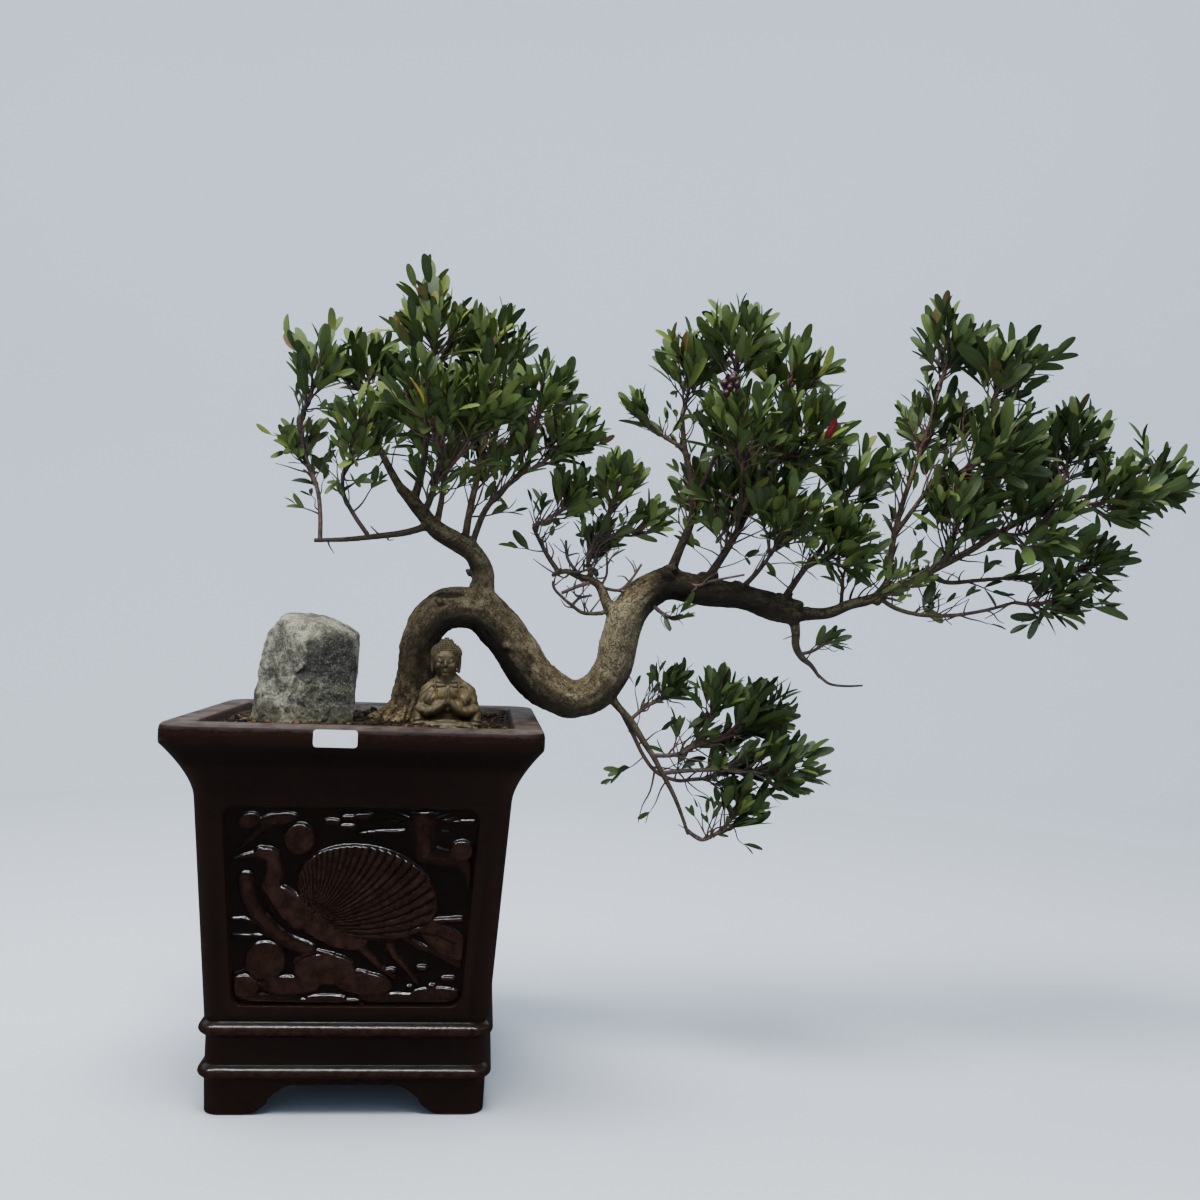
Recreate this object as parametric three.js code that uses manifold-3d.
// A brush cherry bonsai with a snaking trunk that reaches far out over one side of its deep square pot.
// Millimetres, +Z up, -Y towards the viewer, +X towards the reaching side. Everything is modelled about
// the middle of the pot's foot, and the group is then moved along X, so that the part's origin lies on
// the ground under the middle of its outer box.
import * as THREE from "three";
import { mergeVertices } from "three/addons/utils/BufferGeometryUtils.js";
import Module from "manifold-3d";

const wasm = await Module();
wasm.setup();

// Driving dimensions

const potCentreX = -339.3;
const gap = 0.3; // clearance between pieces that touch

const potHeight = 337;
const rimHalf = 162;
const rimInnerHalf = 134.4;
const footHalf = 120;
const potCorner = 15;
const cornerSteps = 2;
const floorTop = 44;
const drainRadius = 15;
const footArch = { height: 26, atGround: 85, atTop: 43, wall: 22 };

// height above the ground and half-width of the pot's outside: foot, bead, band, bead, wall, flare, lip
const potOutside = [
  [0, footHalf],
  [29, 121],
  [31, 123.5],
  [34, 126],
  [39, 126],
  [42, 123.5],
  [45, 121],
  [66, 121],
  [68, 123.5],
  [71, 126.5],
  [76, 126.5],
  [79, 124],
  [82, 122.5],
  [272, 136],
  [286, 139.5],
  [298, 145.5],
  [308, 153.5],
  [316, 160],
  [320, rimHalf],
  [334.5, rimHalf],
  [potHeight, rimHalf - 3],
];
const potInside = [
  [floorTop, 108],
  [285, 126],
  [318, 132],
  [334, rimInnerHalf],
  [potHeight + 1, rimInnerHalf + 2.5],
];
const panel = { low: 98, high: 266, lowHalf: 98, highHalf: 108.5, corner: 11, depth: 3.6 };
const wallFoot = { height: 82, half: 122.5 };
const wallHead = { height: 272, half: 136 };

const soilTop = 329;
const screen = { half: 30, thickness: 1.6, holes: 2, hole: 18 };

const rock = { x: -59, y: -10, bottom: 312, top: 427, halfWidth: 48, halfDepth: 36 };
const figure = { x: 76, y: -45, bottom: 326, height: 87 };
const tagSize = { x: -13.5, z: 327.4, width: 36.5, height: 14.6, thickness: 0.5, corner: 3 };

// Solids: small helpers that join and cut closed meshes

function solid(points, faces) {
  const vertProperties = new Float32Array(points.flatMap((p) => [p.x, p.y, p.z]));
  const mesh = new wasm.Mesh({ numProp: 3, vertProperties, triVerts: new Uint32Array(faces) });
  return new wasm.Manifold(mesh);
}

function solidOf(geometry) {
  geometry.deleteAttribute("normal");
  geometry.deleteAttribute("uv");
  const merged = mergeVertices(geometry, 1e-3);
  const mesh = new wasm.Mesh({
    numProp: 3,
    vertProperties: new Float32Array(merged.attributes.position.array),
    triVerts: new Uint32Array(merged.index.array),
  });
  return new wasm.Manifold(mesh);
}

function geometryOf(body) {
  const mesh = body.getMesh();
  const geometry = new THREE.BufferGeometry();
  geometry.setAttribute("position", new THREE.BufferAttribute(mesh.vertProperties, 3));
  geometry.setIndex(new THREE.BufferAttribute(mesh.triVerts, 1));
  return geometry;
}

function join(bodies) {
  return bodies.reduce((all, body) => all.add(body));
}

// The largest separate piece of a body, as a fresh solid that remembers nothing of how it was made.
function biggest(body) {
  const pieces = body.decompose();
  const best = pieces.reduce((most, piece) => (piece.volume() > most.volume() ? piece : most));
  return new wasm.Manifold(best.getMesh());
}

function touches(bodyA, bodyB) {
  const boxA = bodyA.boundingBox();
  const boxB = bodyB.boundingBox();
  if ([0, 1, 2].some((k) => boxA.min[k] > boxB.max[k] || boxB.min[k] > boxA.max[k])) {
    return false;
  }
  const shared = bodyA.intersect(bodyB);
  const volume = shared.volume();
  shared.delete();
  return volume > 1e-6;
}

// Rings run counter-clockwise about the way the loft goes. The ends of three-sided lofts are single
// triangles, and other ends close on their middle point.
function loft(rings) {
  const count = rings[0].length;
  const points = rings.flat();
  const lastRing = points.length - count;
  const faces = [];
  for (let i = 0; i < count; i++) {
    const next = (i + 1) % count;
    for (let start = 0; start < lastRing; start += count) {
      faces.push(start + i, start + next, start + count + next);
      faces.push(start + i, start + count + next, start + count + i);
    }
  }
  if (count === 3) {
    faces.push(0, 2, 1, lastRing, lastRing + 1, lastRing + 2);
    return solid(points, faces);
  }
  [0, lastRing].forEach((start) => {
    const middle = new THREE.Vector3();
    for (let i = 0; i < count; i++) {
      const next = (i + 1) % count;
      middle.addScaledVector(points[start + i], 1 / count);
      const edge = start ? [start + i, start + next] : [next, i];
      faces.push(lastRing + count + (start ? 1 : 0), ...edge);
    }
    points.push(middle);
  });
  return solid(points, faces);
}

// A tapering tube along a list of points, with a radius for each point.
function tube(points, radii, sides, cornersFrom = 0) {
  const normal = new THREE.Vector3(0, 1, 0);
  const rings = points.map((point, k) => {
    const before = points[Math.max(k - 1, 0)];
    const after = points[Math.min(k + 1, points.length - 1)];
    const along = after.clone().sub(before).normalize();
    normal.addScaledVector(along, -normal.dot(along)).normalize();
    const side = along.clone().cross(normal);
    return Array.from({ length: sides }, (_, i) => {
      const turn = cornersFrom + (i / sides) * 2 * Math.PI;
      return point
        .clone()
        .addScaledVector(normal, radii[k] * Math.cos(turn))
        .addScaledVector(side, radii[k] * Math.sin(turn));
    });
  });
  return loft(rings);
}

function vector(list) {
  return new THREE.Vector3(...list);
}

function lerp(a, b, t) {
  return a + (b - a) * t;
}

// Repeatable scatter between 0 and 1 for item i and its property k
function jitter(i, k) {
  const s = Math.sin(i * 12.9898 + k * 78.233) * 43758.5453;
  return s - Math.floor(s);
}

function ball(x, y, z, rx, ry, rz, around = 10, rows = 6) {
  const geometry = new THREE.SphereGeometry(1, around, rows);
  geometry.rotateX(Math.PI / 2);
  geometry.scale(rx, ry, rz);
  geometry.translate(x, y, z);
  return solidOf(geometry);
}

function drum(x, y, z, radius, height, sides) {
  const geometry = new THREE.CylinderGeometry(radius, radius, height, sides);
  geometry.rotateX(Math.PI / 2);
  geometry.translate(x, y, z);
  return solidOf(geometry);
}

function block(x, y, z, width, depth, height) {
  const geometry = new THREE.BoxGeometry(width, depth, height);
  geometry.translate(x, y, z);
  return solidOf(geometry);
}

function prism(shape, depth, curveSegments = 3) {
  return new THREE.ExtrudeGeometry(shape, { depth, bevelEnabled: false, curveSegments });
}

// An outline through the given corners, each rounded off.
function roundedShape(corners, radius) {
  const shape = new THREE.Shape();
  corners.forEach((corner, i) => {
    const before = corners[(i + corners.length - 1) % corners.length];
    const after = corners[(i + 1) % corners.length];
    const entry = corner.clone().lerp(before, radius / corner.distanceTo(before));
    const exit = corner.clone().lerp(after, radius / corner.distanceTo(after));
    if (i === 0) {
      shape.moveTo(entry.x, entry.y);
    } else {
      shape.lineTo(entry.x, entry.y);
    }
    shape.quadraticCurveTo(corner.x, corner.y, exit.x, exit.y);
  });
  shape.closePath();
  return shape;
}

// Pot

function squareRing(half, corner, z) {
  const ring = [];
  for (let quarter = 0; quarter < 4; quarter++) {
    const middle = (quarter + 0.5) * (Math.PI / 2);
    const centreX = Math.sign(Math.cos(middle)) * (half - corner);
    const centreY = Math.sign(Math.sin(middle)) * (half - corner);
    for (let i = 0; i <= cornerSteps; i++) {
      const turn = (quarter + i / cornerSteps) * (Math.PI / 2);
      const x = centreX + corner * Math.cos(turn);
      const y = centreY + corner * Math.sin(turn);
      ring.push(new THREE.Vector3(x, y, z));
    }
  }
  return ring;
}

function archCut() {
  const { height, atGround, atTop } = footArch;
  const shape = new THREE.Shape();
  shape.moveTo(-atGround, -1);
  shape.lineTo(atGround, -1);
  shape.lineTo(atGround, 0);
  shape.quadraticCurveTo(atGround - 12, height * 0.75, atTop, height);
  shape.lineTo(-atTop, height);
  shape.quadraticCurveTo(-atGround + 12, height * 0.75, -atGround, 0);
  shape.closePath();
  const length = 2 * footHalf + 20;
  const geometry = prism(shape, length);
  geometry.rotateX(Math.PI / 2);
  geometry.translate(0, length / 2, 0);
  return solidOf(geometry);
}

// The panel's picture, in its own plane: x across, y up the wall, z out of the recess. A long-necked bird
// stands among rocks under a round sun and bars of cloud, with a pine bough at the upper right.
function panelPicture() {
  const flat = (x, y, rx, ry, rz, around = 6) => ball(x, y, 0, rx, ry, rz, around, 4);
  const bar = (x, y, length) => block(x, y, 0.9, length, 3.4, 1.8);
  const stroke = (points, radii) => tube(points.map(vector), radii, 4, Math.PI / 4);
  const bird = [
    flat(12, 4, 46, 36, 2.9, 9),
    stroke([[-24, -8, 0], [-47, 6, 0], [-60, 30, 0], [-58, 46, 0]], [9, 7, 4, 4]),
    flat(-62, 48, 9, 7, 2.6, 5),
    stroke([[20, -26, 0], [52, -60, 0]], [3.4, 2.6]),
    stroke([[40, -20, 0], [70, -52, 0]], [3.4, 2.6]),
  ];
  const sky = [
    drum(-38, 56, 0.9, 14, 1.9, 9),
    bar(28, 63, 34),
    bar(82, 70, 28),
    stroke([[94, 30, 0], [70, 44, 0], [60, 66, 0]], [11, 9, 5]),
  ];
  const ground = [
    flat(-56, -50, 26, 22, 2.8),
    flat(-14, -58, 34, 18, 2.6),
  ];
  return [...bird, ...sky, ...ground];
}

function panelSide(quarter) {
  const slope = Math.atan2(wallHead.half - wallFoot.half, wallHead.height - wallFoot.height);
  const middle = (panel.low + panel.high) / 2;
  const halfTall = (panel.high - panel.low) / 2 / Math.cos(slope);
  const out = lerp(wallFoot.half, wallHead.half, (middle - wallFoot.height) / (wallHead.height - wallFoot.height));
  const corners = [
    new THREE.Vector2(-panel.lowHalf, -halfTall),
    new THREE.Vector2(panel.lowHalf, -halfTall),
    new THREE.Vector2(panel.highHalf, halfTall),
    new THREE.Vector2(-panel.highHalf, halfTall),
  ];
  const recess = prism(roundedShape(corners, panel.corner), 12);
  const place = new THREE.Matrix4()
    .makeRotationZ((quarter * Math.PI) / 2)
    .multiply(new THREE.Matrix4().makeTranslation(0, -out, middle))
    .multiply(new THREE.Matrix4().makeRotationX(Math.PI / 2 + slope));
  const inRecess = new THREE.Matrix4().makeTranslation(0, 0, -panel.depth);
  const matrix = place.clone().multiply(inRecess);
  const cut = solidOf(recess).transform(matrix.elements);
  const sunk = 0.5; // the picture's foot goes this far into the recess's floor
  const floor = block(0, 0, -6 - sunk, 230, 190, 12).transform(matrix.elements);
  const inside = solidOf(prism(roundedShape(corners, panel.corner), 12)).translate([0, 0, -sunk]);
  const raised = join(panelPicture()).transform(matrix.elements).subtract(floor);
  return { cut, raised: raised.intersect(inside.transform(matrix.elements)) };
}

function buildPot() {
  const corner = (half) => (half > 150 ? potCorner + 5 : potCorner);
  const outside = loft(potOutside.map(([z, half]) => squareRing(half, corner(half), z)));
  const inside = loft(potInside.map(([z, half]) => squareRing(half, 7, z)));
  const arch = archCut();
  const underFloor = footHalf - footArch.wall;
  const hollow = block(0, 0, footArch.height / 2 - 0.5, 2 * underFloor, 2 * underFloor, footArch.height + 1);
  let pot = outside.subtract(inside);
  pot = pot.subtract(drum(0, 0, floorTop / 2, drainRadius, floorTop + 10, 16));
  pot = pot.subtract(arch).subtract(arch.rotate([0, 0, 90])).subtract(hollow);
  for (let quarter = 0; quarter < 4; quarter++) {
    const side = panelSide(quarter);
    pot = pot.subtract(side.cut).add(side.raised);
  }
  return biggest(pot);
}

// Soil, and the mesh plate over the drain hole

function buildScreen() {
  const { half, thickness, holes, hole } = screen;
  const pitch = (2 * half) / (holes + 0.6);
  const outline = [
    new THREE.Vector2(-half, -half),
    new THREE.Vector2(half, -half),
    new THREE.Vector2(half, half),
    new THREE.Vector2(-half, half),
  ];
  const geometry = prism(roundedShape(outline, 4), thickness);
  geometry.translate(0, 0, floorTop + gap);
  let plate = solidOf(geometry);
  for (let i = 0; i < holes * holes; i++) {
    const x = ((i % holes) - (holes - 1) / 2) * pitch;
    const y = (Math.floor(i / holes) - (holes - 1) / 2) * pitch;
    plate = plate.subtract(block(x, y, floorTop, hole, hole, 6 * thickness));
  }
  return plate;
}

function soilHeight(x, y) {
  const mound = 3.5 * Math.exp(-((x - 25) ** 2 + (y + 5) ** 2) / 2600);
  const wave = 1.4 * Math.sin(x / 17 + 1.2) * Math.cos(y / 21);
  return soilTop + mound + wave;
}

function buildSoil(holes) {
  const rings = potInside
    .filter(([z]) => z < soilTop)
    .map(([z, half]) => squareRing(half - gap, 7, z === floorTop ? z + gap : z));
  const topHalf = lerp(132, rimInnerHalf, (soilTop + 4 - 318) / 16) - gap;
  rings.push(squareRing(topHalf, 7, soilTop + 4));
  // A block above a sheet of small square fields takes the flat top down to the soil's own surface.
  const fields = 6;
  const reach = topHalf + 12;
  const points = [];
  const faces = [];
  for (let level = 0; level < 2; level++) {
    for (let j = 0; j <= fields; j++) {
      for (let i = 0; i <= fields; i++) {
        const x = lerp(-reach, reach, i / fields);
        const y = lerp(-reach, reach, j / fields);
        const rough = 1.6 * (jitter(i * 31 + j, 3) - 0.5);
        points.push(new THREE.Vector3(x, y, level ? soilTop + 40 : soilHeight(x, y) + rough));
      }
    }
  }
  const row = fields + 1;
  const layer = row * row;
  for (let j = 0; j < fields; j++) {
    for (let i = 0; i < fields; i++) {
      const a = j * row + i;
      faces.push(a, a + row, a + row + 1, a, a + row + 1, a + 1);
      const b = a + layer;
      faces.push(b, b + 1, b + row + 1, b, b + row + 1, b + row);
    }
  }
  for (let i = 0; i < fields; i++) {
    const front = [i, i + 1];
    const back = [fields * row + i + 1, fields * row + i];
    const right = [i * row + fields, (i + 1) * row + fields];
    const left = [(i + 1) * row, i * row];
    for (const [a, b] of [front, back, right, left]) {
      faces.push(a, b, b + layer, a, b + layer, a + layer);
    }
  }
  let soil = loft(rings).subtract(solid(points, faces));
  const screenRoom = 2 * (screen.half + gap);
  const screenHeight = screen.thickness + 2 * gap;
  soil = soil.subtract(block(0, 0, floorTop + screenHeight / 2, screenRoom, screenRoom, screenHeight + 0.1));
  holes.forEach((hole) => {
    soil = soil.subtract(hole);
  });
  return biggest(soil);
}

// Trunk and branches. Each limb has its points, a radius at its first and last point or at every point,
// the number of its sides and of rings between two points.

const limbs = {
  trunk: {
    points: [
      [30, 0, 262], [33, 0, 300], [37, -1, 327], [41, -2, 352], [43.5, -3, 380], [44.5, -4, 404],
      [54, -4, 427], [69, -3, 440], [87, -2, 442], [106, 0, 438], [125, 3, 419], [142, 6, 396],
      [159, 9, 374], [178, 11, 361], [199, 12, 356], [219, 11, 365], [233, 9, 386], [239, 6, 411],
      [244, 3, 435], [258, 1, 457], [283, -2, 472], [317, -4, 467], [357, -5, 462], [391, -3, 453],
      [417, 0, 447],
    ],
    radii: [
      9, 20, 24.5, 20.5, 18.8, 18.5, 19, 20, 20.5, 21, 21, 21.5, 21.5, 20.5, 19.5, 19.5, 19, 19, 18.5,
      17.5, 16, 14, 12.5, 13.5, 13,
    ],
    sides: 7,
    steps: 2,
  },
  crown: {
    points: [
      [97, 0, 440], [103, 0, 463], [102, -1, 480], [91, -3, 497], [67, -3, 510], [54, -1, 519],
      [43, 2, 532], [32, 3, 544], [20, 2, 556],
    ],
    radii: [17, 11.5, 10.5, 10, 9.5, 8.5, 7.5, 6.5, 5],
    sides: 5,
    steps: 1,
  },
  crownLeft: {
    points: [[22, 2, 553], [6, 8, 580], [-9, 18, 612], [-15, 27, 641]],
    radii: [4.5, 2.2],
  },
  crownMiddle: {
    points: [[34, 3, 543], [42, -2, 580], [45, -8, 622], [48, -10, 660]],
    radii: [4.5, 2.2],
  },
  crownFront: {
    points: [[44, -2, 530], [54, -20, 554], [62, -38, 584]],
    radii: [4, 2.2],
  },
  crownBack: {
    points: [[56, 1, 518], [60, 24, 550], [60, 42, 584]],
    radii: [4, 2.2],
  },
  crownRight: {
    points: [[84, -3, 501], [88, 6, 536], [96, 18, 580], [103, 28, 625], [105, 32, 656]],
    radii: [4.2, 2.2],
  },
  side: {
    points: [[90, -3, 499], [103, -8, 536], [121, -16, 558], [138, -22, 574], [146, -27, 598]],
    radii: [3.6, 2.2],
  },
  low: {
    points: [[50, -1, 520], [28, -6, 512], [0, -8, 507], [-28, -8, 503], [-59, -6, 501]],
    radii: [4, 2.2],
  },
  rise: {
    points: [[-53, -6, 502], [-54, -4, 526], [-58, 0, 550], [-67, 2, 572], [-74, 0, 594], [-76, -4, 618]],
    radii: [2.4, 1.9],
  },
  lean: {
    points: [[-8, -8, 508], [-21, -12, 526], [-31, -18, 545], [-32, -24, 562]],
    radii: [2.4, 1.9],
  },
  inner: {
    points: [[241, 4, 424], [227, 2, 447], [219, 3, 462], [207, 5, 470], [192, 6, 475], [173, 6, 477]],
    radii: [8, 5.5, 5, 4.5, 3.6, 2.6],
  },
  innerUp: {
    points: [[181, 6, 477], [171, 7, 494], [163, 7, 505], [158, 6, 515]],
    radii: [2.8, 1.9],
  },
  innerRise: {
    points: [[211, 4, 468], [206, 8, 492], [212, 8, 512], [221, 2, 529]],
    radii: [3.2, 1.9],
  },
  innerLow: {
    points: [[220, 3, 441], [207, -4, 440], [195, -6, 446], [181, -6, 455], [171, -4, 464]],
    radii: [2.6, 1.9],
  },
  upright: {
    points: [[284, -2, 476], [295, -3, 506], [306, -4, 538], [305, -4, 572], [297, -2, 606], [294, 4, 640]],
    radii: [6, 4.6, 4.2, 3.8, 3.2, 2.4],
  },
  uprightRight: {
    points: [[306, -4, 548], [320, -12, 584], [333, -18, 620], [339, -21, 656]],
    radii: [3, 1.9],
  },
  fan: {
    points: [[318, -4, 470], [345, 2, 512], [368, 8, 556], [386, 14, 600], [398, 20, 642]],
    radii: [4.6, 2.2],
  },
  fanFront: {
    points: [[352, 3, 524], [352, -18, 554], [350, -32, 580]],
    radii: [2.8, 1.9],
  },
  arm: {
    points: [[352, -5, 464], [371, -12, 486], [382, -21, 503]],
    radii: [3.4, 1.9],
  },
  armOut: {
    points: [[396, -2, 453], [418, 2, 486], [440, 0, 516], [454, 5, 542]],
    radii: [4, 1.9],
  },
  reach: {
    points: [
      [415, 0, 447], [447, 1, 449], [469, 2, 458], [487, 2, 463], [503, 1, 470], [527, -1, 483],
      [556, -4, 498], [588, -6, 516], [622, -8, 538], [660, -8, 558], [700, -4, 574], [742, 2, 584],
    ],
    radii: [7.5, 6, 5.6, 5.4, 5, 4.4, 4, 3.6, 3.2, 2.8, 2.4, 2],
    sides: 5,
    steps: 1,
  },
  reachUp: {
    points: [
      [497, 1, 468], [508, 2, 486], [512, 4, 520], [522, 8, 560], [536, 12, 600], [548, 10, 640],
      [556, 6, 678],
    ],
    radii: [4, 3.6, 3.4, 3, 2.6, 2.4, 2],
  },
  reachFork: {
    points: [[514, 4, 530], [540, -8, 572], [568, -18, 616], [592, -23, 652]],
    radii: [2.8, 1.9],
  },
  reachBack: {
    points: [[562, -4, 502], [590, 14, 530], [626, 36, 560]],
    radii: [2.8, 1.9],
  },
  reachLow: {
    points: [[497, 2, 468], [515, -2, 456], [542, -5, 450], [574, -7, 451], [606, -7, 457], [636, -6, 466]],
    radii: [2.8, 1.9],
  },
  reachMid: {
    points: [[545, -2, 492], [570, 4, 484], [600, 8, 487], [640, 12, 492], [684, 18, 499]],
    radii: [2.8, 1.9],
  },
  drop: {
    points: [
      [228, 11, 366], [240, 10, 350], [254, 6, 335], [265, 3, 318], [276, 0, 302], [285, -2, 286],
      [296, -3, 267], [305, -3, 247], [313, -2, 226],
    ],
    radii: [6, 4, 3.7, 3.4, 3.1, 2.8, 2.5, 2.2, 2],
  },
  dropTwin: {
    points: [[243, 9, 346], [257, 16, 322], [269, 18, 300], [283, 20, 284], [304, 24, 276], [320, 27, 277]],
    radii: [2.4, 1.9],
  },
  dropUp: {
    points: [[252, 6, 336], [262, 8, 345], [271, 9, 352]],
    radii: [2.2, 1.9],
  },
  dropOut: {
    points: [[275, 0, 303], [294, -3, 304], [310, -6, 310], [320, -9, 324]],
    radii: [2.4, 1.9],
  },
  dropFar: {
    points: [[285, -2, 286], [312, -8, 290], [352, -12, 292]],
    radii: [2.4, 1.9],
  },
  dropEnd: {
    points: [[311, -2, 231], [325, -3, 222], [336, -4, 225]],
    radii: [2.2, 1.9],
  },
  stub: {
    points: [[412, 0, 444], [414, -3, 428], [414, -5, 415], [420, -6, 404], [430, -6, 396], [439, -6, 384]],
    radii: [6, 4.6, 4.2, 3.6, 2.6, 1.8],
  },
  stubTwig: {
    points: [[436, -6, 388], [448, -7, 379], [464, -8, 377], [482, -8, 378]],
    radii: [1.7, 1],
  },
};

function limbCurve(name) {
  return new THREE.CatmullRomCurve3(limbs[name].points.map(vector), false, "centripetal");
}

function limbSolid(name, grow = 0) {
  const { points, radii, sides = radii[0] < 4.3 ? 3 : 4, steps = 1 } = limbs[name];
  const curve = limbCurve(name);
  const last = (points.length - 1) * steps;
  const centres = [];
  const widths = [];
  for (let k = 0; k <= last; k++) {
    const t = k / last;
    const place = t * (radii.length - 1);
    const index = Math.min(Math.floor(place), radii.length - 2);
    centres.push(curve.getPoint(t));
    widths.push(lerp(radii[index], radii[index + 1], place - index) + grow);
  }
  const startWay = centres[0].clone().sub(centres[1]).setLength(grow);
  const endWay = centres[last].clone().sub(centres[last - 1]).setLength(grow);
  centres[0].add(startWay);
  centres[last].add(endWay);
  return tube(centres, widths, sides);
}

// Surface roots spread from the trunk's foot into the soil.
const surfaceRoots = [
  { turn: 200, reach: 34, drop: 16, radius: 9 },
  { turn: 262, reach: 30, drop: 16, radius: 8 },
  { turn: 330, reach: 34, drop: 18, radius: 8 },
  { turn: 80, reach: 32, drop: 16, radius: 8 },
];

function rootSolid({ turn, reach, drop, radius }, grow = 0) {
  const way = new THREE.Vector3(Math.cos((turn * Math.PI) / 180), Math.sin((turn * Math.PI) / 180), 0);
  const foot = new THREE.Vector3(36, -1, soilTop + 12);
  const points = [
    foot.clone().addScaledVector(way, 6),
    foot.clone().addScaledVector(way, reach * 0.6).setZ(soilTop - 1),
    foot.clone().addScaledVector(way, reach + grow).setZ(soilTop - drop),
  ];
  return tube(points, [radius + grow, radius * 0.8 + grow, radius * 0.35 + grow], 5);
}

function buildTrunk(grow = 0) {
  const wood = Object.keys(limbs).map((name) => limbSolid(name, grow));
  const roots = surfaceRoots.map((root) => rootSolid(root, grow));
  return biggest(join([...wood, ...roots]));
}

// Stone: a block of granite bounded by a few rough planes, rounded where they meet.

const rockPlanes = [
  { way: [-1, 0.1, 0.09], out: 0.98 },
  { way: [1, 0.12, 0.1], out: 0.96 },
  { way: [-0.35, -1, 0.12], out: 0.92 },
  { way: [0.75, -0.75, 0.1], out: 0.94 },
  { way: [0.1, 1, 0.12], out: 1 },
  { way: [-0.1, -0.1, 1], out: 0.96 },
  { way: [-0.75, -0.2, 0.8], out: 0.97 },
  { way: [0.8, 0.1, 0.62], out: 0.93 },
  { way: [0, 0, -1], out: 1 },
];

function buildRock(grow = 0) {
  const geometry = new THREE.IcosahedronGeometry(1, 2);
  const place = geometry.getAttribute("position");
  const way = new THREE.Vector3();
  const halfTall = (rock.top - rock.bottom) / 2;
  const planes = rockPlanes.map((plane) => ({ normal: vector(plane.way).normalize(), out: plane.out }));
  for (let i = 0; i < place.count; i++) {
    way.fromBufferAttribute(place, i).normalize();
    // a high power mean of the planes' distances rounds the edges between them
    const closeness = planes.reduce((sum, { normal, out }) => {
      return sum + Math.max(way.dot(normal) / out, 0) ** 14;
    }, 0);
    const rough = 1 + 0.03 * Math.sin(9 * way.x + 5 * way.z) * Math.cos(7 * way.y - 6 * way.z);
    const radius = (rough / closeness ** (1 / 14)) * 0.985;
    place.setXYZ(
      i,
      way.x * (radius * rock.halfWidth + grow),
      way.y * (radius * rock.halfDepth + grow),
      way.z * (radius * halfTall + grow),
    );
  }
  geometry.translate(rock.x, rock.y, (rock.top + rock.bottom) / 2);
  return solidOf(geometry);
}

// Seated figure with its hands together: crossed legs, robe, arms, head with a knot of hair.

function buildFigure() {
  const { height } = figure;
  const at = (x, y, z) => new THREE.Vector3(x, y, z).multiplyScalar(height / 87);
  const limb = (points, radii, sides = 4) => tube(points.map((p) => at(...p)), radii, sides);
  const both = (make) => [make(-1), make(1)];
  const pieces = [
    ball(0, 0, 8, 29, 19, 12, 9, 5),
    ball(0, 3, 32, 17, 12, 28, 7, 4),
    ball(0, 3, 50, 21, 11, 9.5, 8, 4),
    drum(0, 2, 60, 5.6, 12, 5),
    ball(0, 0, 70.5, 10.6, 11, 13, 9, 6),
    ball(0, 1.5, 77, 11.4, 11.6, 8.2, 8, 4),
    ball(0, 2, 83.5, 5.6, 5.6, 4.8, 6, 4),
    limb([[0, -9.6, 73], [0, -11.2, 69.5], [0, -10, 68.2]], [0.9, 1.9, 0.9], 4),
    ...both((s) => ball(s * 10.8, 2, 69, 1.6, 3, 7, 5, 4)),
    ...both((s) => limb([[s * 17, 3, 52], [s * 24, 0, 38], [s * 25, -4, 27]], [6.5, 6.4, 6])),
    ...both((s) => limb([[s * 25, -4, 26], [s * 14, -14, 30], [s * 3, -17, 38]], [6, 4.6, 3])),
    ...both((s) => limb([[s * 25, -3, 28], [s * 26, -5, 14], [s * 24, -6, 3]], [5.5, 6.5, 7])),
    ...both((s) => limb([[s * 22, -6, 8], [s * 8, -17, 7], [s * -6, -18, 6]], [7, 6, 4])),
    limb([[0, -16, 34], [0, -17, 44], [0, -15.5, 53]], [3.8, 3.6, 1.4]),
  ];
  const ground = block(0, 0, -15, 90, 70, 30);
  return biggest(join(pieces).subtract(ground)).translate([figure.x, figure.y, figure.bottom]);
}

function figurePocket() {
  const shape = new THREE.Shape();
  shape.absellipse(0, 0, 33.5, 25, 0, 2 * Math.PI, false, 0);
  const geometry = prism(shape, 40, 6);
  geometry.translate(figure.x, figure.y - 1, figure.bottom - gap);
  return solidOf(geometry);
}

// Blank label on the front of the lip

function buildTag() {
  const { x, z, width, height, thickness, corner } = tagSize;
  const outline = [
    new THREE.Vector2(-width / 2, -height / 2),
    new THREE.Vector2(width / 2, -height / 2),
    new THREE.Vector2(width / 2, height / 2),
    new THREE.Vector2(-width / 2, height / 2),
  ];
  const geometry = prism(roundedShape(outline, corner), thickness);
  geometry.rotateX(Math.PI / 2);
  geometry.translate(x, -rimHalf - gap, z);
  return solidOf(geometry);
}

// Foliage. Every spray grows from a limb: it has a stem to the middle of its clump, shoots that fan out
// of the stem to the clump's skin, and pairs of leaves along each shoot.

const leaf = { length: 43, halfWidth: 7.4, thickness: 1.5, fold: 1, droop: 2, spacing: 19 };
const leafShare = 0.42; // how much of a leaf stands beyond the end of its shoot
const shootRadii = [1.7, 1.4];
const stemRadii = [2.5, 2.2, 1.9, 1.5];
const stemSags = [[-0.15, 0], [0.1, 0.1], [0.1, -0.15], [-0.3, 0.1], [-0.3, -0.15]];
const leafyLength = 56; // a shoot longer than this has a second pair of leaves
const smallClump = 30; // a clump that reaches no further than this has one pair of leaves on its stem
const bigClump = 36; // a clump that reaches further than this has one more shoot

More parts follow.
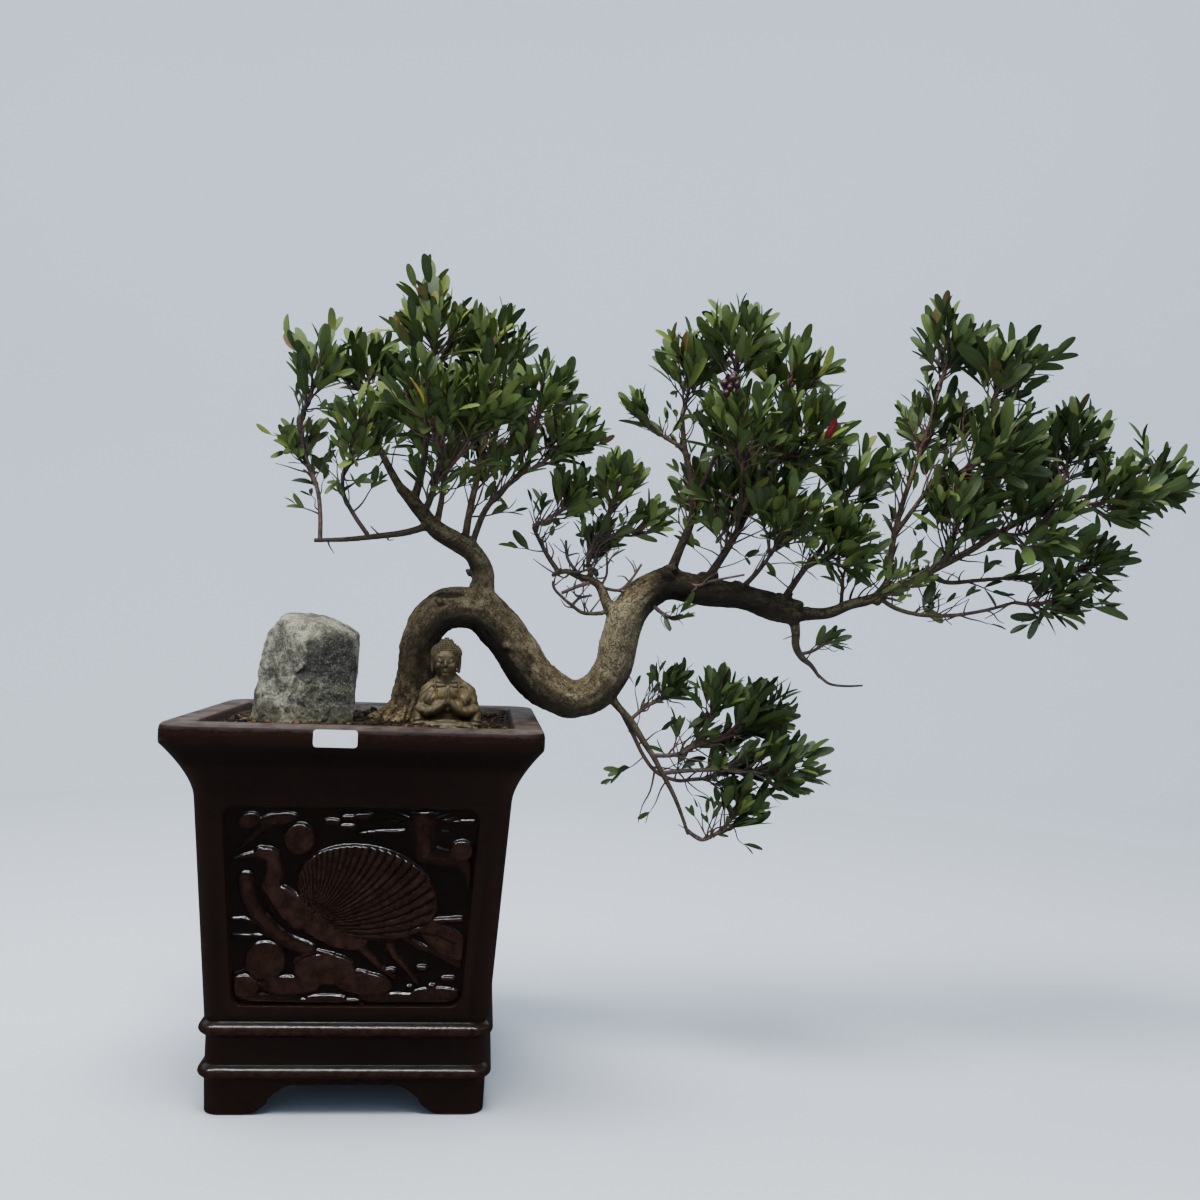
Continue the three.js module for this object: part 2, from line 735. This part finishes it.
const sprays = [
  { name: "crown_1", limb: "rise", at: 1, middle: [-60, -12, 662], reach: 33 },
  { name: "crown_2", limb: "rise", at: 0.55, middle: [-80, 24, 598], reach: 27 },
  { name: "crown_3", limb: "crownLeft", at: 1, middle: [-18, 38, 673], reach: 41 },
  { name: "crown_4", limb: "crownMiddle", at: 1, middle: [50, -8, 704], reach: 44 },
  { name: "crown_5", limb: "crownRight", at: 1, middle: [106, 36, 700], reach: 44 },
  { name: "crown_6", limb: "side", at: 1, middle: [151, -34, 643], reach: 40 },
  { name: "crown_7", limb: "side", at: 0.72, middle: [180, 8, 611], reach: 35 },
  { name: "crown_8", limb: "crownFront", at: 1, middle: [44, -62, 629], reach: 46 },
  { name: "crown_9", limb: "crownRight", at: 0.5, middle: [111, 50, 615], reach: 45 },
  { name: "crown_10", limb: "lean", at: 1, middle: [-14, -34, 602], reach: 39 },
  { name: "crown_11", limb: "crownBack", at: 1, middle: [46, 58, 632], reach: 47 },
  { name: "crown_12", limb: "crownFront", at: 0.6, middle: [104, -60, 634], reach: 41 },
  { name: "inner_1", limb: "innerUp", at: 1, middle: [188, 8, 552], reach: 30 },
  { name: "inner_2", limb: "innerRise", at: 1, middle: [231, -14, 565], reach: 31 },
  { name: "inner_3", limb: "innerRise", at: 0.75, middle: [266, 6, 531], reach: 27 },
  { name: "inner_4", limb: "innerRise", at: 0.4, middle: [219, 26, 509], reach: 26 },
  { name: "middle_1", limb: "upright", at: 1, middle: [304, 10, 685], reach: 40 },
  { name: "middle_2", limb: "uprightRight", at: 1, middle: [343, -20, 706], reach: 40 },
  { name: "middle_3", limb: "fan", at: 1, middle: [407, 24, 687], reach: 43 },
  { name: "middle_4", limb: "fanFront", at: 1, middle: [344, -50, 620], reach: 48 },
  { name: "middle_5", limb: "fan", at: 0.72, middle: [414, -20, 620], reach: 46 },
  { name: "middle_6", limb: "armOut", at: 1, middle: [471, 12, 580], reach: 41 },
  { name: "middle_7", limb: "fan", at: 0.3, middle: [337, 44, 563], reach: 46 },
  { name: "middle_8", limb: "arm", at: 1, middle: [390, -46, 538], reach: 45 },
  { name: "middle_9", limb: "armOut", at: 0.5, middle: [454, -32, 514], reach: 38 },
  { name: "middle_10", limb: "upright", at: 0.8, middle: [249, -8, 640], reach: 22 },
  { name: "middle_11", limb: "fan", at: 0.55, middle: [397, 62, 597], reach: 50 },
  { name: "outer_1", limb: "reachUp", at: 1, middle: [565, 6, 718], reach: 38 },
  { name: "outer_2", limb: "reachFork", at: 1, middle: [613, -26, 690], reach: 41 },
  { name: "outer_3", limb: "reachUp", at: 0.72, middle: [561, 32, 642], reach: 44 },
  { name: "outer_4", limb: "reachFork", at: 0.45, middle: [596, -56, 613], reach: 45 },
  { name: "outer_5", limb: "reach", at: 0.86, middle: [705, 22, 631], reach: 43 },
  { name: "outer_6", limb: "reach", at: 0.88, middle: [728, -26, 572], reach: 42 },
  { name: "outer_7", limb: "reach", at: 1, middle: [792, 8, 592], reach: 34 },
  { name: "outer_8", limb: "reach", at: 0.72, middle: [643, -46, 538], reach: 46 },
  { name: "outer_9", limb: "reach", at: 0.56, middle: [572, -24, 553], reach: 42 },
  { name: "outer_10", limb: "reachMid", at: 1, middle: [731, 22, 508], reach: 35 },
  { name: "outer_11", limb: "reachLow", at: 1, middle: [680, -6, 470], reach: 32 },
  { name: "outer_12", limb: "reachBack", at: 1, middle: [660, 58, 596], reach: 46 },
  { name: "hanging_1", limb: "dropUp", at: 1, middle: [294, 8, 368], reach: 26 },
  { name: "hanging_2", limb: "dropOut", at: 1, middle: [335, -18, 360], reach: 28 },
  { name: "hanging_3", limb: "dropOut", at: 0.8, middle: [386, 14, 344], reach: 33 },
  { name: "hanging_4", limb: "dropFar", at: 1, middle: [402, -16, 291], reach: 34 },
  { name: "hanging_5", limb: "dropTwin", at: 1, middle: [356, 30, 287], reach: 33 },
  { name: "hanging_6", limb: "dropEnd", at: 1, middle: [359, -6, 248], reach: 26 },
  { name: "bend_sprig", limb: "trunk", at: 0.8, middle: [290, -22, 438], reach: 22, stemFrom: [268, -4, 452] },
  { name: "stub_sprig", limb: "stub", at: 0.55, middle: [444, -12, 420], reach: 21 },
  { name: "arm_sprig", limb: "reach", at: 0.14, middle: [466, 18, 486], reach: 25 },
];

const up = new THREE.Vector3(0, 0, 1);

function sideways(way) {
  const helper = Math.abs(way.z) < 0.9 ? up : new THREE.Vector3(0, 1, 0);
  return helper.clone().cross(way).normalize();
}

// A blade with a six-cornered outline, its edges lifted, and a keel underneath that is thickest near
// the root. The root is a point inside the shoot.
function leafSolid(root, way, facing, length) {
  const across = way.clone().cross(facing).normalize();
  const face = across.clone().cross(way).normalize();
  const wide = (leaf.halfWidth * length) / leaf.length;
  const at = (along, side, lift) => {
    return root
      .clone()
      .addScaledVector(way, along * length)
      .addScaledVector(across, side)
      .addScaledVector(face, lift);
  };
  const points = [
    at(0, 0, 0),
    at(0.38, -wide * 0.8, leaf.fold),
    at(0.38, wide * 0.8, leaf.fold),
    at(0.76, -wide * 0.9, leaf.fold),
    at(0.76, wide * 0.9, leaf.fold),
    at(0.26, 0, -leaf.thickness),
    at(1, 0, -leaf.droop),
  ];
  const [base, left1, right1, left2, right2, keel, tip] = points.keys();
  const faces = [
    [base, right1, left1], [left1, right1, right2], [left1, right2, left2], [left2, right2, tip],
    [base, left1, keel], [left1, left2, keel], [left2, tip, keel],
    [right1, base, keel], [right2, right1, keel], [tip, right2, keel],
  ];
  return solid(points, faces.flat());
}

// A shoot: a three-sided twig that starts from a point inside its stem.
function shootSolid(start, along, length) {
  const first = sideways(along);
  const second = along.clone().cross(first);
  const ring = (distance, radius) => {
    return [0, 1, 2].map((i) => {
      const out = tilted(along, first, second, Math.PI / 2, (i / 3) * 2 * Math.PI);
      return start.clone().addScaledVector(along, distance).addScaledVector(out, radius);
    });
  };
  const points = [start.clone().addScaledVector(along, -1), ...ring(4, shootRadii[0]), ...ring(length, shootRadii[1])];
  const faces = [4, 5, 6];
  for (let i = 1; i <= 3; i++) {
    const next = (i % 3) + 1;
    faces.push(0, next, i, i, next, next + 3, i, next + 3, i + 3);
  }
  return solid(points, faces);
}

function tilted(main, first, second, lean, turn) {
  return main
    .clone()
    .multiplyScalar(Math.cos(lean))
    .addScaledVector(first, Math.sin(lean) * Math.cos(turn))
    .addScaledVector(second, Math.sin(lean) * Math.sin(turn));
}

// The first of some tries that stands clear of what was built before, or nothing. A try keeps clear of
// other sprays with its whole body, and of its own spray and the bare limbs with its outer part.
function firstClear(tries, make, around) {
  for (const attempt of tries) {
    const made = make(attempt);
    const free = around.others.every((body) => !touches(body, made.body));
    if (free && around.own.every((body) => !touches(body, made.outer))) {
      return made;
    }
  }
  return null;
}

function stemOf(entry, way, sag) {
  const from = entry.stemFrom ? vector(entry.stemFrom) : limbCurve(entry.limb).getPoint(entry.at);
  const middle = vector(entry.middle);
  const length = middle.distanceTo(from);
  const aside = sideways(middle.clone().sub(from).normalize());
  const bend = from.clone().lerp(middle, 0.5).addScaledVector(up, sag[0] * length);
  bend.addScaledVector(aside, sag[1] * length);
  const tip = middle.clone().addScaledVector(way, entry.reach - leafShare * leaf.length);
  const points = [from, bend, middle, tip];
  const clearFrom = Math.min(0.9, 10 / bend.distanceTo(from));
  const outerPoints = [from.clone().lerp(bend, clearFrom), middle, tip];
  return {
    start: middle,
    along: tip.clone().sub(middle).normalize(),
    length: tip.distanceTo(middle),
    bend,
    body: tube(points, stemRadii, 3),
    outer: tube(outerPoints, stemRadii.slice(1), 3),
  };
}

function shootOf(entry, start, way) {
  const end = vector(entry.middle).addScaledVector(way, entry.reach - leafShare * leaf.length);
  const along = end.clone().sub(start).normalize();
  const length = end.distanceTo(start);
  const outerStart = start.clone().addScaledVector(along, 5);
  return {
    start,
    along,
    length,
    body: shootSolid(start, along, length),
    outer: shootSolid(outerStart, along, length - 5),
  };
}

function leavesOf({ start, along, length }, pairs, number, around) {
  const inward = sideways(along);
  const other = along.clone().cross(inward);
  const own = [...around.own];
  const blades = [];
  for (let i = 0; i < 2 * pairs; i++) {
    const pair = Math.floor(i / 2);
    const roll = (pair + 2 * (i % 2)) * (Math.PI / 2) + jitter(number, 2) * Math.PI;
    const open = 0.55 + 0.25 * pair;
    const size = leaf.length * lerp(0.9, 1.12, jitter(number * 5 + i, 4));
    const root = start.clone().addScaledVector(along, Math.max(length - 3 - pair * leaf.spacing, 1));
    const make = (turn) => {
      const out = tilted(along, inward, other, Math.PI / 2, roll + turn);
      const way = along.clone().multiplyScalar(Math.cos(open)).addScaledVector(out, Math.sin(open));
      const facing = up.clone().addScaledVector(out, -0.4).addScaledVector(along, 0.3);
      const outerRoot = root.clone().addScaledVector(way, 4);
      return {
        body: leafSolid(root, way, facing, size),
        outer: leafSolid(outerRoot, way, facing, size),
      };
    };
    const blade = firstClear([0, 0.6, -0.6, 1.1], make, { own, others: around.others });
    if (blade) {
      own.push(blade.outer);
      blades.push(blade);
    }
  }
  return blades;
}

function buildSpray(entry, number, rooms, others) {
  const from = entry.stemFrom ? vector(entry.stemFrom) : limbCurve(entry.limb).getPoint(entry.at);
  const main = vector(entry.middle).sub(from).normalize().lerp(up, 0.5).normalize();
  const first = sideways(main);
  const second = main.clone().cross(first);
  const own = [...rooms];
  const stemWay = tilted(main, first, second, 0.3, number);
  const stem = firstClear(stemSags, (sag) => stemOf(entry, stemWay, sag), { own, others });
  if (!stem) {
    throw new Error("no room for the stem of " + entry.name);
  }
  const big = entry.reach > bigClump;
  const pieces = [stem.body];
  const dress = (twig, pairs, seed) => {
    const blades = leavesOf(twig, pairs, seed, { own, others });
    own.push(twig.outer, ...blades.map(({ outer }) => outer));
    pieces.push(...blades.map(({ body }) => body));
  };
  dress(stem, entry.reach > smallClump ? 2 : 1, number * 7);
  const shoots = big ? 2 : 1;
  for (let s = 0; s < shoots; s++) {
    const start = stem.bend.clone().lerp(stem.start, 0.85 - 0.4 * s);
    const make = (turn) => {
      return shootOf(entry, start, tilted(main, first, second, 1.15 + 0.5 * s, number + 2 + 2.6 * s + turn));
    };
    const shoot = firstClear([0, 0.5, -0.5, 1, -1, 1.5, -1.5], make, { own, others });
    if (shoot) {
      pieces.push(shoot.body);
      dress(shoot, shoot.length > leafyLength ? 2 : 1, number * 7 + s + 1);
    }
  }
  return join(pieces);
}

// Materials

function finish(color, roughness, metalness = 0) {
  return new THREE.MeshStandardMaterial({ color, roughness, metalness });
}

const glaze = finish(0x2e1512, 0.22);
const earth = finish(0x4a3423, 0.95);
const mesh = finish(0x2b2b2b, 0.7);
const bark = finish(0x6e6149, 0.9);
const granite = finish(0x8b8e86, 0.85);
const bronze = finish(0x5b4526, 0.4, 0.6);
const label = finish(0xe8eaec, 0.35);
const green = finish(0x2f4a22, 0.45);

// Assembly

const group = new THREE.Group();

function addPiece(name, body, material) {
  const piece = new THREE.Mesh(geometryOf(body), material);
  piece.name = name;
  group.add(piece);
}

const trunk = buildTrunk();
const trunkRoom = buildTrunk(gap);
const rockRoom = buildRock(gap);

addPiece("pot", buildPot(), glaze);
addPiece("soil", buildSoil([trunkRoom, rockRoom, figurePocket()]), earth);
addPiece("drain_screen", buildScreen(), mesh);
addPiece("trunk", trunk, bark);
addPiece("stone", buildRock(), granite);
addPiece("figurine", buildFigure(), bronze);
addPiece("tag", buildTag(), label);

const rooms = Object.keys(limbs).map((name) => limbSolid(name, gap));
const finished = [];
sprays.forEach((entry, i) => {
  const spray = biggest(buildSpray(entry, i, rooms, finished).subtract(trunkRoom));
  finished.push(spray);
  addPiece("spray_" + entry.name, spray, green);
});

group.position.x = potCentreX;

export default group;
